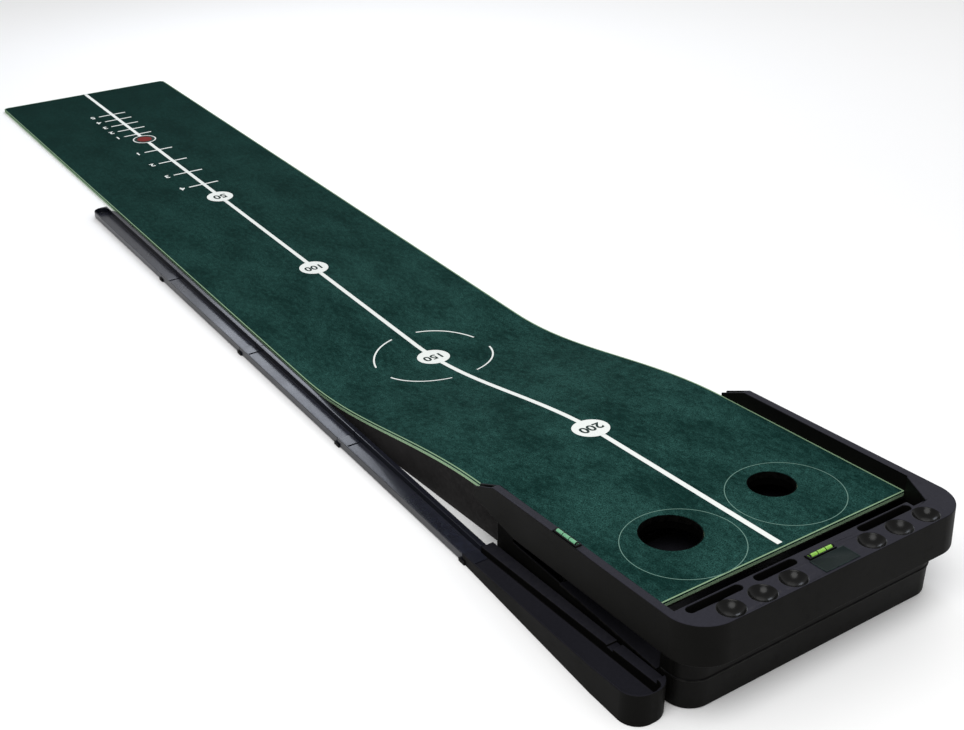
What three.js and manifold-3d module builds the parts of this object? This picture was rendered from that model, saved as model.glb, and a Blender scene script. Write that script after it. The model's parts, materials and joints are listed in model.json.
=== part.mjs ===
// Practice putting mat: a long turf that runs up a ramp onto a raised tray with two cups.
// Balls fall into the tray's base, roll into a collector at the left and run back along a track.
// Millimetres. +X across, +Y from the cups toward the player's far end, +Z up, floor at z = 0.
import * as THREE from 'three';
import { mergeVertices } from 'three/addons/utils/BufferGeometryUtils.js';
import Module from 'manifold-3d';

const wasm = await Module();
wasm.setup();

// ---- driving dimensions ----
const GAP = 0.3;               // clearance between touching pieces
const OVER = 1;                // how far a cut runs past the faces that it opens
const SKY = 300;               // a height above the whole object
const MAT_W = 490;             // turf width
const TURF_T = 3;              // turf thickness
const BACKING_T = 5;           // foam backing thickness
const MAT_FAR = 476;           // far end of the turf, past the red tee dot at y = 0
const MAT_CORNER_R = 14;       // rounding of the turf's corners
const RAMP_START = -1430;      // y where the turf starts to rise
const TRAY_Y = -2431;          // y of the turf's near end on the tray
const TRAY_Z = 127.5;          // height of the tray's deck there
const TRAY_TILT = 0.0719;      // radians, the deck rises toward the near end
const DECK_L = 396;            // deck length from the turf's near end to the ramp
const DECK_T = 3;              // deck thickness
const LEDGE_W = 6;             // ledges that the deck plate lies on, along the rails
const LEDGE_T = 2;
const WALL = 3;                // moulded wall thickness
const RAIL_H = 34;             // rails and shelf above the deck
const RAIL_W = 14;             // width of a rail's top
const SKIRT_DROP = 30;         // skirt below the deck
const SHELF_NEAR = 109;        // shelf's near edge from the turf's end
const DROP_GAP = 49;           // open gap between the turf's end and the shelf
const TRAY_CORNER_R = 58;      // rounding of the tray's near corners
const TIP_L = 54;              // length of a rail tip's slope
const TIP_TOP = 12;            // its end's top above the deck
const TIP_FOOT_L = 110;        // length of the slope under it
const TIP_FOOT = -8;           // its end's underside from the deck
const BIG_CUP = { x: -103, v: 123, r: 47.5 };
const SMALL_CUP = { x: 105.5, v: 133, r: 37.5 };
const CUP_LINER_H = 12;        // depth of a cup liner
const CUP_LINER_T = 2;         // its wall
const DIMPLE_FIRST = 74.3;     // first ball dimple from the centre
const DIMPLE_STEP = 55;        // spacing of the dimples
const DIMPLE_V = 88;           // their line, from the turf's end
const DIMPLE_R = 19.5;         // radius of a dimple's rim
const DIMPLE_BALL_R = 23;      // radius of the sphere it is cut from
const BOWL_T = 2.5;            // wall of the bowl under it
const SLOT_V = 59.5;           // centre line of the shelf's slots
const SLOT_W = 14;             // their width
const SLOT_DEPTH = 52;         // their depth
const SLOTS = [[-234, -140], [-116, -42], [80, 183]];  // their ends
// The drop gap's right end: its left side, and the ends of its slanted side.
const GAP_END = { leftX: MAT_W / 2 - 56, farX: MAT_W / 2 - 1, farV: -2, nearX: MAT_W / 2 - 31, nearV: -62 };
const BASE_LEFT = 7 - MAT_W / 2;       // base's left side, under the turf's edge
const BASE_RIGHT = MAT_W / 2 + 11;     // and its right, under the rail
const BASE_NEAR = TRAY_Y - 73;
const BASE_FAR = TRAY_Y + DECK_L - 29; // just short of the deck's far end
const BASE_CORNER_R = 40;
const BASE_LIFT = 1;           // base's underside above the floor, taken up by its pads
const POST_R = 6.5;            // screw posts
const SHELF_POST_X = [-128, 60];
const SHELF_POST_V = -63;      // their line, from the turf's end
const DECK_POST_X = [33 - MAT_W / 2, MAT_W / 2 - 33];
const DECK_POST_V = DECK_L - 96;
const POST_DROP = 16;          // top of a post below the deck or shelf that it carries
const POST_CAP = 4;            // thickness left above a post's counterbore
const POST_GAP = 1.2;          // clearance between the posts of the base and the tray
const LID_GAP = 3.2;           // from the base's rim to the deck plate, over the ledges
const SCREW_R = 2;
const SCREW_HEAD_R = 4;
const SCREW_HEAD_H = 3;
const SCREW_L = 15;
const SCREW_PLAY = 0.8;        // room round a screw in the base's post
const PAD_R = 11;
const PAD_T = 3;
const PAD_INSET = 40;          // a pad's centre from the base's sides
const BASE_FLOOR_T = 4;
const CHUTE_FAR = BASE_FAR - 168;
const CHUTE_NEAR = BASE_NEAR + 23;
const CHUTE_HIGH = 62;         // chute's top face at its right end
const CHUTE_LOW = 46;          // and at its left lip
const CHUTE_WALL_H = 14;
const CHUTE_WALL_T = 2;
const CHUTE_LIP_L = 60;        // how far in the lip over the side wall starts
const CHUTE_LEG_R = 5;
const CHUTE_LEG_INSET = 40;    // its legs' centres from its ends
const SIDE_OPENING = [BASE_NEAR + 54, BASE_FAR - 46];  // low stretch of the base's left wall
const RAMP_HALF_FAR = MAT_W / 2 - 1;   // half width of the ramp wedge at its far tip
const RAMP_HALF_NEAR = MAT_W / 2 - 23; // and against the base
const RAMP_WALL = 3;
const RAMP_TIP = 60;           // wedge's far edge, in from the foot of the rise
const RAMP_TAPER = 340;        // where its sides start to draw in, likewise
const RAMP_HOLLOW = 110;       // where its hollow starts, in from its far edge
const RAMP_DECK_GAP = 1.5;     // clearance under the tray's deck
const RAMP_RIB_X = 80;
const RAMP_RIB_T = 3;
const TRACK_GAP = 1;           // clearance between the ball track and the turf
const TRACK_W = 53;            // overall width of the track
const TRACK_OUT = -MAT_W / 2 - TRACK_GAP - TRACK_W;  // its outer face
const TRACK_H = 14;            // height of the track's walls above its underside
const TRACK_FLOOR = 2.4;
const TRACK_WALL = 2.6;
const TRACK_WALL_DRAFT = 4;    // how far its inner wall's outside slopes out
const CHANNEL_W = 32;          // width of the channel that the ball runs on
const TRACK_LIFT = 2;          // track's underside above the floor, taken up by its couplers
const TRACK_SECTION_L = 401;
const TRACK_LAST_L = 436;
const TRACK_NEAR = BASE_FAR + 1;       // joint between the collector and the first section
const TRACK_SECTIONS = 4;
const TRACK_END_R = 22;        // rounding of its far end
const TRACK_END_FOOT = 30;     // small foot's place from that end
const TRACK_JOINT_GAP = 1;
const TONGUE_L = 20;           // plug at each section's near end
const TONGUE_T = 1.2;
const TONGUE_ROOT = 10;        // how far it reaches into its own section
const COUPLER_L = 16;
const COUPLER_T = 1.7;
const CLIP_GAP = 0.8;          // clip stands off the outer wall
const CLIP_T = 1.6;
const COLLECTOR_NEAR = BASE_NEAR + 14;
const COLLECTOR_FLARE = 14;    // how far the collector's outer wall flares out
const COLLECTOR_H = 52;        // height of its outer wall at the near end
const COLLECTOR_INNER_H = 44;  // height of its inner wall at the near end
const COLLECTOR_FLOOR = 26;    // rise of its channel floor at the near end
const COLLECTOR_CORNER_R = 32;
const COLLECTOR_POCKET_R = 14; // inner corner of the pocket at its near end
const COLLECTOR_POCKET_W = 5;  // how much wider than the channel the pocket is
const COLLECTOR_STRAIGHT = 60; // outer wall's run beside the pocket
const COLLECTOR_END_WALL = 20; // full height stretch of the inner side
const COLLECTOR_NOTCH = { from: 110, to: 122, z: 34 };  // gap in its inner wall
const LEVEL_TUBE_R = 3.4;
const LEVEL_END = 2;           // housing past each end of the tube
const LEVEL_FLOOR = 1;         // housing under it
const LEVEL_SINK = 3.6;        // how deep a housing is let into the tray
const LEVEL_WELL_T = 1.5;      // wall of the well round it
const LEVEL_BORE_R = 2.4;
const BUBBLE_R = 1.9;
const BUBBLE_L = 7;            // straight length of a bubble between its round ends
const FRONT_LEVEL = { x: -2, v: -66.5, length: 46, width: 11, height: 6 };
const SIDE_LEVEL = { v: 168, length: 50, width: 10, height: 6 };
const PLATE = { x: 1, width: 64, far: -74, near: -105, t: 1 };

// ---- materials ----
const paint = (color, roughness) => new THREE.MeshStandardMaterial({ color, roughness, metalness: 0 });
const TURF = paint(0x254a42, 0.95);
const FOAM = paint(0x9db89a, 0.9);
const BLACK = paint(0x2c2d33, 0.5);
const DARK = paint(0x1a1a1b, 0.6);
const RAMP_BROWN = paint(0x37332e, 0.6);
const TRACK_BLUE = paint(0x2a2c3c, 0.35);
const PLATE_GREEN = paint(0x263232, 0.45);
const VIAL = paint(0x9fd65a, 0.1);
const BUBBLE = paint(0xe8ffd0, 0.05);
const STEEL = new THREE.MeshStandardMaterial({ color: 0x8a8d90, roughness: 0.35, metalness: 1 });
const RUBBER = paint(0x151515, 0.9);

// ---- solids ----
function solid(geometry) {
  const bare = geometry.clone();
  bare.deleteAttribute('normal');
  bare.deleteAttribute('uv');
  const merged = mergeVertices(bare, 1e-4);
  return new wasm.Manifold(new wasm.Mesh({
    numProp: 3,
    vertProperties: new Float32Array(merged.attributes.position.array),
    triVerts: new Uint32Array(merged.index.array),
  }));
}

function geometryOf(manifold) {
  const { vertProperties, triVerts } = manifold.getMesh();
  const geometry = new THREE.BufferGeometry();
  geometry.setAttribute('position', new THREE.BufferAttribute(new Float32Array(vertProperties), 3));
  geometry.setIndex(new THREE.BufferAttribute(new Uint32Array(triVerts), 1));
  geometry.computeVertexNormals();
  return geometry;
}

function addMesh(parent, name, manifold, material) {
  const mesh = new THREE.Mesh(geometryOf(manifold), material);
  mesh.name = name;
  parent.add(mesh);
  return mesh;
}

// A box from its low corner to its high corner.
function box(x0, x1, y0, y1, z0, z1) {
  const geometry = new THREE.BoxGeometry(x1 - x0, y1 - y0, z1 - z0);
  return solid(geometry.translate((x0 + x1) / 2, (y0 + y1) / 2, (z0 + z1) / 2));
}

// An upright prism over an outline in X and Y.
function prism(shape, z0, z1, curveSegments = 10) {
  const geometry = new THREE.ExtrudeGeometry(shape, { depth: z1 - z0, bevelEnabled: false, curveSegments });
  return solid(geometry.translate(0, 0, z0));
}

// An outline in Y and Z carried across from x0 to x1.
function across(points, x0, x1) {
  const shape = new THREE.Shape(points.map(([y, z]) => new THREE.Vector2(y, z)));
  const geometry = new THREE.ExtrudeGeometry(shape, { depth: x1 - x0, bevelEnabled: false });
  const axes = new THREE.Matrix4().makeBasis(
    new THREE.Vector3(0, 1, 0), new THREE.Vector3(0, 0, 1), new THREE.Vector3(1, 0, 0));
  return solid(geometry.applyMatrix4(axes).translate(x0, 0, 0));
}

// An outline in X and Z carried along from y0 to y1.
function along(points, y0, y1) {
  const shape = new THREE.Shape(points.map(([x, z]) => new THREE.Vector2(x, z)));
  const geometry = new THREE.ExtrudeGeometry(shape, { depth: y1 - y0, bevelEnabled: false });
  return solid(geometry.rotateX(Math.PI / 2).translate(0, y1, 0));
}

function upright(x, y, r, z0, z1, segments = 32) {
  const geometry = new THREE.CylinderGeometry(r, r, z1 - z0, segments);
  return solid(geometry.rotateX(Math.PI / 2).translate(x, y, (z0 + z1) / 2));
}

function ball(x, y, z, r, segments = 24) {
  return solid(new THREE.SphereGeometry(r, segments, segments / 2).rotateX(Math.PI / 2).translate(x, y, z));
}

// A rectangle whose near and far corners are rounded by their own radii.
function roundedOutline(x0, x1, y0, y1, nearR, farR) {
  const shape = new THREE.Shape();
  shape.moveTo(x0 + nearR, y0);
  shape.lineTo(x1 - nearR, y0);
  if (nearR > 0) shape.absarc(x1 - nearR, y0 + nearR, nearR, -Math.PI / 2, 0);
  shape.lineTo(x1, y1 - farR);
  if (farR > 0) shape.absarc(x1 - farR, y1 - farR, farR, 0, Math.PI / 2);
  shape.lineTo(x0 + farR, y1);
  if (farR > 0) shape.absarc(x0 + farR, y1 - farR, farR, Math.PI / 2, Math.PI);
  shape.lineTo(x0, y0 + nearR);
  if (nearR > 0) shape.absarc(x0 + nearR, y0 + nearR, nearR, Math.PI, Math.PI * 1.5);
  return shape;
}

// ---- the running surface ----
const SLOPE = Math.tan(TRAY_TILT);
const DECK_END_Y = TRAY_Y + DECK_L * Math.cos(TRAY_TILT);
const deckPlaneZ = (y) => TRAY_Z - SLOPE * (y - TRAY_Y);

// Height of the turf's underside: flat, then a smooth rise, then the tilted deck.
function deckZ(y) {
  if (y >= RAMP_START) return 0;
  if (y <= DECK_END_Y) return deckPlaneZ(y);
  const run = RAMP_START - DECK_END_Y;
  const s = (RAMP_START - y) / run;
  return deckPlaneZ(DECK_END_Y) * s * s * (3 - 2 * s) + SLOPE * run * (s * s * s - s * s);
}

function rampSteps(fromY, toY, count) {
  return Array.from({ length: count + 1 }, (_, i) => fromY + (toY - fromY) * i / count);
}

// A layer that follows the running surface between two heights above it.
function layer(low, high) {
  const ys = [MAT_FAR, ...rampSteps(RAMP_START, DECK_END_Y, 24), TRAY_Y];
  const top = ys.map((y) => [y, deckZ(y) + high]);
  const bottom = ys.map((y) => [y, deckZ(y) + low]).reverse();
  return across([...top, ...bottom], -MAT_W / 2, MAT_W / 2);
}

const cupY = (cup) => TRAY_Y + cup.v * Math.cos(TRAY_TILT);

function matLayer(low, high) {
  const outline = roundedOutline(-MAT_W / 2, MAT_W / 2, TRAY_Y, MAT_FAR, 1, MAT_CORNER_R);
  let sheet = layer(low, high).intersect(prism(outline, -1, TRAY_Z + RAIL_H, 6));
  for (const cup of [BIG_CUP, SMALL_CUP]) {
    sheet = sheet.subtract(upright(cup.x, cupY(cup), cup.r, 0, TRAY_Z + RAIL_H, 48));
  }
  return sheet;
}

const mat = new THREE.Group();
const backing = matLayer(0, BACKING_T);
const partY = RAMP_START - RAMP_TIP;
const halfW = MAT_W / 2 + OVER;
const pastParting = box(-halfW, halfW, partY + GAP / 2, MAT_FAR + OVER, -OVER, SKY);
const beforeParting = box(-halfW, halfW, TRAY_Y - OVER, partY - GAP / 2, -OVER, SKY);
addMesh(mat, 'backing_on_floor', backing.intersect(pastParting), FOAM);
addMesh(mat, 'backing_on_ramp', backing.intersect(beforeParting), FOAM);
addMesh(mat, 'mat_turf', matLayer(BACKING_T + GAP, BACKING_T + TURF_T), TURF);

// ---- upper tray, in its own tilted frame: origin at the turf's near end, on the deck ----
const BAY_HALF = MAT_W / 2 + 1;
const TRAY_HALF = BAY_HALF + RAIL_W;
const DECK_TOP = -GAP;
const DECK_LOW = DECK_TOP - DECK_T;
const SHELF_FAR = -DROP_GAP;
const LEDGE_TOP = DECK_LOW - GAP;
const SHELF_POSTS = SHELF_POST_X.map((x) => ({ x, v: SHELF_POST_V, top: RAIL_H - WALL }));
const DECK_POSTS = DECK_POST_X.map((x) => ({ x, v: DECK_POST_V, top: DECK_LOW }));
const POSTS = [...SHELF_POSTS, ...DECK_POSTS];

// Adds the hollow bosses that take the screws.
function withBosses(body, posts) {
  return posts.reduce((joined, post) => joined
    .add(upright(post.x, post.v, POST_R - OVER, post.top - POST_DROP, post.top + OVER))
    .subtract(upright(post.x, post.v, SCREW_R + GAP, -SKIRT_DROP, post.top - 2 * OVER, 16)), body);
}

function trayShell() {
  const outline = roundedOutline(-TRAY_HALF, TRAY_HALF, -SHELF_NEAR, DECK_L, TRAY_CORNER_R, 0);
  const hollowOutline = roundedOutline(-TRAY_HALF + WALL, TRAY_HALF - WALL,
    -SHELF_NEAR + WALL, DECK_L + 1, TRAY_CORNER_R - WALL, 0);
  let shell = prism(outline, -SKIRT_DROP, RAIL_H, 14)
    .subtract(prism(hollowOutline, -SKIRT_DROP - 1, RAIL_H - WALL, 14));
  shell = shell.subtract(box(-BAY_HALF, BAY_HALF, SHELF_FAR, DECK_L + OVER, -SKIRT_DROP - OVER, SKY));
  for (const side of [-1, 1]) {
    const inner = side * BAY_HALF;
    const outer = side * (BAY_HALF + WALL);
    const ledgeIn = side * (BAY_HALF - LEDGE_W);
    const span = (a, b) => [Math.min(a, b), Math.max(a, b)];
    shell = shell.add(box(...span(inner, outer), SHELF_FAR - WALL, DECK_L, LEDGE_TOP - LEDGE_T, RAIL_H))
      .add(box(...span(ledgeIn, outer), 0, DECK_L, LEDGE_TOP - LEDGE_T, LEDGE_TOP));
  }
  return shell.add(box(-BAY_HALF - WALL, BAY_HALF + WALL, SHELF_FAR - WALL, SHELF_FAR, -SKIRT_DROP, RAIL_H));
}

function slotOutline([x0, x1], grow) {
  const half = SLOT_W / 2 + grow;
  return roundedOutline(x0 - grow, x1 + grow, -SLOT_V - half, -SLOT_V + half, half - 0.1, half - 0.1);
}

// The drop gap's right end widens into the shelf, and a slanted block closes its corner.
function gapEndFill() {
  const { farX, farV, nearX, nearV } = GAP_END;
  const out = BAY_HALF + WALL - 1;
  const slantX = nearX + (farX - nearX) * (SHELF_FAR - nearV) / (farV - nearV);
  return new THREE.Shape([[farX, farV], [slantX, SHELF_FAR], [GAP_END.leftX - WALL, SHELF_FAR],
    [GAP_END.leftX - WALL, nearV - WALL], [out, nearV - WALL], [out, farV]]
    .map(([x, v]) => new THREE.Vector2(x, v)));
}

function gapEndCut() {
  const { farX, farV, nearX, nearV } = GAP_END;
  const slantX = nearX + (farX - nearX) * (SHELF_FAR - nearV) / (farV - nearV);
  return new THREE.Shape([[GAP_END.leftX, nearV], [nearX, nearV], [slantX, SHELF_FAR + 0.01],
    [GAP_END.leftX, SHELF_FAR + 0.01]].map(([x, v]) => new THREE.Vector2(x, v)));
}

// A well in the top for a spirit level's housing; across is its size in X and along in V.
function levelWell(tray, x, v, halfX, halfV) {
  const floor = RAIL_H - LEVEL_SINK;
  const room = GAP + LEVEL_WELL_T;
  return tray.add(box(x - halfX - room, x + halfX + room, v - halfV - room, v + halfV + room,
    floor - LEVEL_WELL_T, RAIL_H))
    .subtract(box(x - halfX - GAP, x + halfX + GAP, v - halfV - GAP, v + halfV + GAP, floor, SKY));
}

function cutPocket(tray, outline, outerOutline) {
  return tray.add(prism(outerOutline, RAIL_H - SLOT_DEPTH - 2, RAIL_H, 8))
    .subtract(prism(outline, RAIL_H - SLOT_DEPTH, RAIL_H + 1, 8));
}

function upperTray() {
  let tray = trayShell();
  const depthOfCentre = Math.sqrt(DIMPLE_BALL_R ** 2 - DIMPLE_R ** 2);
  const belowTop = box(-TRAY_HALF, TRAY_HALF, -SHELF_NEAR, 0, -SKIRT_DROP, RAIL_H);
  for (const side of [-1, 1]) {
    for (let i = 0; i < 3; i += 1) {
      const x = side * (DIMPLE_FIRST + i * DIMPLE_STEP);
      const bowl = ball(x, -DIMPLE_V, RAIL_H + depthOfCentre, DIMPLE_BALL_R + BOWL_T, 16).intersect(belowTop);
      tray = tray.add(bowl).subtract(ball(x, -DIMPLE_V, RAIL_H + depthOfCentre, DIMPLE_BALL_R));
    }
  }
  for (const slot of SLOTS) tray = cutPocket(tray, slotOutline(slot, 0), slotOutline(slot, 2));
  tray = tray.add(prism(gapEndFill(), DECK_LOW, RAIL_H))
    .subtract(prism(gapEndCut(), -SKIRT_DROP - 1, RAIL_H + 1));
  tray = withBosses(tray, SHELF_POSTS);
  const frontHalf = FRONT_LEVEL.length / 2 + LEVEL_END;
  const sideHalf = SIDE_LEVEL.length / 2 + LEVEL_END;
  tray = levelWell(tray, FRONT_LEVEL.x, FRONT_LEVEL.v, frontHalf, FRONT_LEVEL.width / 2);
  tray = levelWell(tray, -BAY_HALF - RAIL_W / 2, SIDE_LEVEL.v, SIDE_LEVEL.width / 2, sideHalf);
  const end = DECK_L + OVER;
  const tipTop = [[DECK_L - TIP_L, RAIL_H], [end, TIP_TOP], [end, SKY], [DECK_L - TIP_L, SKY]];
  const foot = -SKIRT_DROP - OVER;
  const tipFoot = [[DECK_L - TIP_FOOT_L, foot], [end, TIP_FOOT], [end, foot]];
  return tray.subtract(across(tipTop, -TRAY_HALF - OVER, TRAY_HALF + OVER))
    .subtract(across(tipFoot, -TRAY_HALF - OVER, -BAY_HALF))
    .subtract(across(tipFoot, BAY_HALF, TRAY_HALF + OVER));
}

// Plate under the turf, with both holes through it.
function deckPlate() {
  const half = BAY_HALF - GAP;
  const plate = box(-half, half, 0, DECK_L, DECK_LOW, DECK_TOP);
  const holes = [BIG_CUP, SMALL_CUP].map((cup) => upright(cup.x, cup.v, cup.r, DECK_LOW - OVER, OVER, 48));
  return withBosses(holes.reduce((left, hole) => left.subtract(hole), plate), DECK_POSTS);
}

const trayGroup = new THREE.Group();
trayGroup.position.set(0, TRAY_Y, TRAY_Z);
trayGroup.rotation.x = -TRAY_TILT;
addMesh(trayGroup, 'upper_tray', upperTray(), BLACK);
addMesh(trayGroup, 'deck_plate', deckPlate(), BLACK);

function cupLiner(cup) {
  const top = DECK_LOW - GAP;
  const outer = upright(0, 0, cup.r + CUP_LINER_T, top - CUP_LINER_H, top, 48);
  return outer.subtract(upright(0, 0, cup.r, top - CUP_LINER_H - 1, top + 1, 48));
}

for (const [name, cup] of [['big_cup_liner', BIG_CUP], ['small_cup_liner', SMALL_CUP]]) {
  addMesh(trayGroup, name, cupLiner(cup), DARK).position.set(cup.x, cup.v, 0);
}

// ---- spirit levels and the plate, on the shelf and the left rail ----
// Each is built along X around its tube's axis.
function levelHousing(level) {
  const half = level.length / 2 + LEVEL_END;
  const foot = -LEVEL_TUBE_R - LEVEL_FLOOR;
  const seat = LEVEL_TUBE_R + GAP;
  const block = box(-half, half, -level.width / 2, level.width / 2, foot, foot + level.height);
  const cradle = box(-level.length / 2, level.length / 2, -seat, seat, -seat, level.height);
  return block.subtract(cradle);
}

function lyingCylinder(r, length, segments = 20) {
  return solid(new THREE.CylinderGeometry(r, r, length, segments).rotateZ(Math.PI / 2));
}

function levelTube(level) {
  const length = level.length - 2 * GAP;
  return lyingCylinder(LEVEL_TUBE_R, length).subtract(lyingCylinder(LEVEL_BORE_R, length + 2));
}

function addLevel(prefix, level, place) {
  const group = new THREE.Group();
  place(group);
  trayGroup.add(group);
  addMesh(group, `${prefix}_housing`, levelHousing(level), BLACK);
  addMesh(group, `${prefix}_tube`, levelTube(level), VIAL);
  const bubble = new THREE.CapsuleGeometry(BUBBLE_R, BUBBLE_L, 6, 14).rotateZ(Math.PI / 2);
  addMesh(group, `${prefix}_bubble`, solid(bubble), BUBBLE);
}

const LEVEL_SEAT = RAIL_H - LEVEL_SINK + GAP + LEVEL_TUBE_R + LEVEL_FLOOR;
addLevel('front_level', FRONT_LEVEL, (group) => {
  group.position.set(FRONT_LEVEL.x, FRONT_LEVEL.v, LEVEL_SEAT);
});
addLevel('side_level', SIDE_LEVEL, (group) => {
  group.position.set(-BAY_HALF - RAIL_W / 2, SIDE_LEVEL.v, LEVEL_SEAT);
  group.rotation.z = Math.PI / 2;
});
const plateBox = box(PLATE.x - PLATE.width / 2, PLATE.x + PLATE.width / 2,
  PLATE.near, PLATE.far, RAIL_H + GAP, RAIL_H + GAP + PLATE.t);
addMesh(trayGroup, 'blank_plate', plateBox, PLATE_GREEN);

// ---- base ----
// Where a tray point (x, v, w) lies in the part's frame.
function trayPoint(x, v, w) {
  const c = Math.cos(TRAY_TILT);
  const s = Math.sin(TRAY_TILT);
  return { x, y: TRAY_Y + v * c + w * s, z: TRAY_Z - v * s + w * c };
}

function postTop(post) {
  return trayPoint(post.x, post.v, post.top - POST_DROP).z - POST_GAP;
}

const PAD_SPOTS = [BASE_NEAR + PAD_INSET, BASE_FAR - PAD_INSET].flatMap(
  (y) => [[BASE_LEFT + PAD_INSET, y], [BASE_RIGHT - PAD_INSET, y]]);
const BASE_FLOOR_TOP = BASE_LIFT + BASE_FLOOR_T;

// All that is more than a rise above the deck's plane, from a place along it to the near end.
function aboveDeck(farY, rise) {
  const nearY = BASE_NEAR - OVER;
  const outline = [[farY, deckPlaneZ(farY) + rise], [nearY, deckPlaneZ(nearY) + rise],
    [nearY, SKY], [farY, SKY]];
  return across(outline, BASE_LEFT - OVER, BASE_RIGHT + OVER);
}

function baseShell() {
  const outline = roundedOutline(BASE_LEFT, BASE_RIGHT, BASE_NEAR, BASE_FAR, BASE_CORNER_R, 6);
  const inner = roundedOutline(BASE_LEFT + WALL, BASE_RIGHT - WALL, BASE_NEAR + WALL, BASE_FAR - WALL,
    BASE_CORNER_R - WALL, 3);
  const shelfY = trayPoint(0, SHELF_FAR + WALL, 0).y;
  let base = prism(outline, BASE_LIFT, SKY - OVER, 12)
    .subtract(prism(inner, BASE_FLOOR_TOP, SKY, 12))
    .subtract(aboveDeck(BASE_FAR + OVER, DECK_LOW - LID_GAP))
    .subtract(aboveDeck(shelfY, -SKIRT_DROP - LID_GAP))
    .subtract(box(BASE_LEFT - OVER, BASE_LEFT + WALL + OVER, ...SIDE_OPENING, CHUTE_LOW - WALL - OVER, SKY));
  for (const post of POSTS) {
    const spot = trayPoint(post.x, post.v, post.top - POST_DROP);
    const top = postTop(post);
    base = base.add(upright(post.x, spot.y, POST_R, BASE_LIFT, top, 24))
      .subtract(upright(post.x, spot.y, SCREW_HEAD_R + 1, BASE_LIFT - 1, top - POST_CAP, 24))
      .subtract(upright(post.x, spot.y, SCREW_R + SCREW_PLAY, BASE_LIFT, top + OVER, 16));
  }
  for (const [x, y] of PAD_SPOTS) {
    base = base.subtract(upright(x, y, PAD_R + GAP, BASE_LIFT - 1, PAD_T + GAP, 24));
  }
  return base;
}

const baseGroup = new THREE.Group();
addMesh(baseGroup, 'base_shell', baseShell(), DARK);
PAD_SPOTS.forEach(([x, y], i) => {
  addMesh(baseGroup, `foot_pad_${i + 1}`, upright(0, 0, PAD_R, 0, PAD_T, 24), RUBBER).position.set(x, y, 0);
});

POSTS.forEach((post, i) => {
  const head = upright(0, 0, SCREW_HEAD_R, -SCREW_HEAD_H, 0, 20);
  const screw = head.add(upright(0, 0, SCREW_R, -OVER, SCREW_L, 14));
  const seat = post.top - POST_DROP - POST_GAP - POST_CAP - 2 * GAP;
  addMesh(trayGroup, `tray_screw_${i + 1}`, screw, STEEL).position.set(post.x, post.v, seat);
});

// Chute: a plate that falls toward the collector, with walls on its other three sides.
function ballChute() {
  const left = BASE_LEFT - WALL - OVER;
  const right = BASE_RIGHT - WALL - CHUTE_WALL_T;
  const wallLeft = BASE_LEFT + WALL + OVER;
  const slab = [[left, CHUTE_LOW - WALL], [right, CHUTE_HIGH - WALL], [right, CHUTE_HIGH], [left, CHUTE_LOW]];
  const wall = [[wallLeft, CHUTE_LOW - OVER], [right, CHUTE_HIGH - OVER],
    [right, CHUTE_HIGH + CHUTE_WALL_H], [wallLeft, CHUTE_LOW + CHUTE_WALL_H]];
  const plate = along(slab, CHUTE_NEAR, CHUTE_FAR);
  const lipBox = box(left, BASE_LEFT + CHUTE_LIP_L, SIDE_OPENING[0] + OVER, CHUTE_FAR, 0, SKY);
  const endWall = box(right - CHUTE_WALL_T, right, CHUTE_NEAR, CHUTE_FAR,
    CHUTE_HIGH - WALL, CHUTE_HIGH + CHUTE_WALL_H);
  const inside = roundedOutline(wallLeft, BASE_RIGHT - WALL - OVER, BASE_NEAR + WALL + OVER, CHUTE_FAR,
    BASE_CORNER_R - WALL - OVER, 0);
  let chute = plate.add(along(wall, CHUTE_FAR - CHUTE_WALL_T, CHUTE_FAR))
    .add(along(wall, CHUTE_NEAR, CHUTE_NEAR + CHUTE_WALL_T))
    .add(endWall)
    .intersect(prism(inside, 0, SKY, 12))
    .add(plate.intersect(lipBox));
  for (const x of [left + CHUTE_LEG_INSET, right - CHUTE_LEG_INSET]) {
    for (const y of [CHUTE_FAR - CHUTE_LEG_INSET, CHUTE_NEAR + CHUTE_LEG_INSET]) {
      const z = CHUTE_LOW + (CHUTE_HIGH - CHUTE_LOW) * (x - left) / (right - left);
      chute = chute.add(upright(x, y, CHUTE_LEG_R, BASE_FLOOR_TOP + GAP, z - OVER, 16));
    }
  }
  return chute;
}
addMesh(baseGroup, 'ball_chute', ballChute(), DARK);

// ---- ramp wedge ----
const RAMP_TIP_Y = RAMP_START - RAMP_TIP;
const RAMP_NEAR_Y = BASE_FAR + 3 * GAP;

// Its plan from above: straight sides that draw in toward the base.
function rampPlan(inset) {
  const far = RAMP_HALF_FAR - inset;
  const near = RAMP_HALF_NEAR - inset;
  const taperY = RAMP_START - RAMP_TAPER;
  const corners = [[far, RAMP_TIP_Y + OVER], [far, taperY], [near, RAMP_NEAR_Y - OVER]];
  const mirrored = corners.map(([x, y]) => [-x, y]).reverse();
  return new THREE.Shape([...corners, ...mirrored].map(([x, y]) => new THREE.Vector2(x, y)));
}

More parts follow.
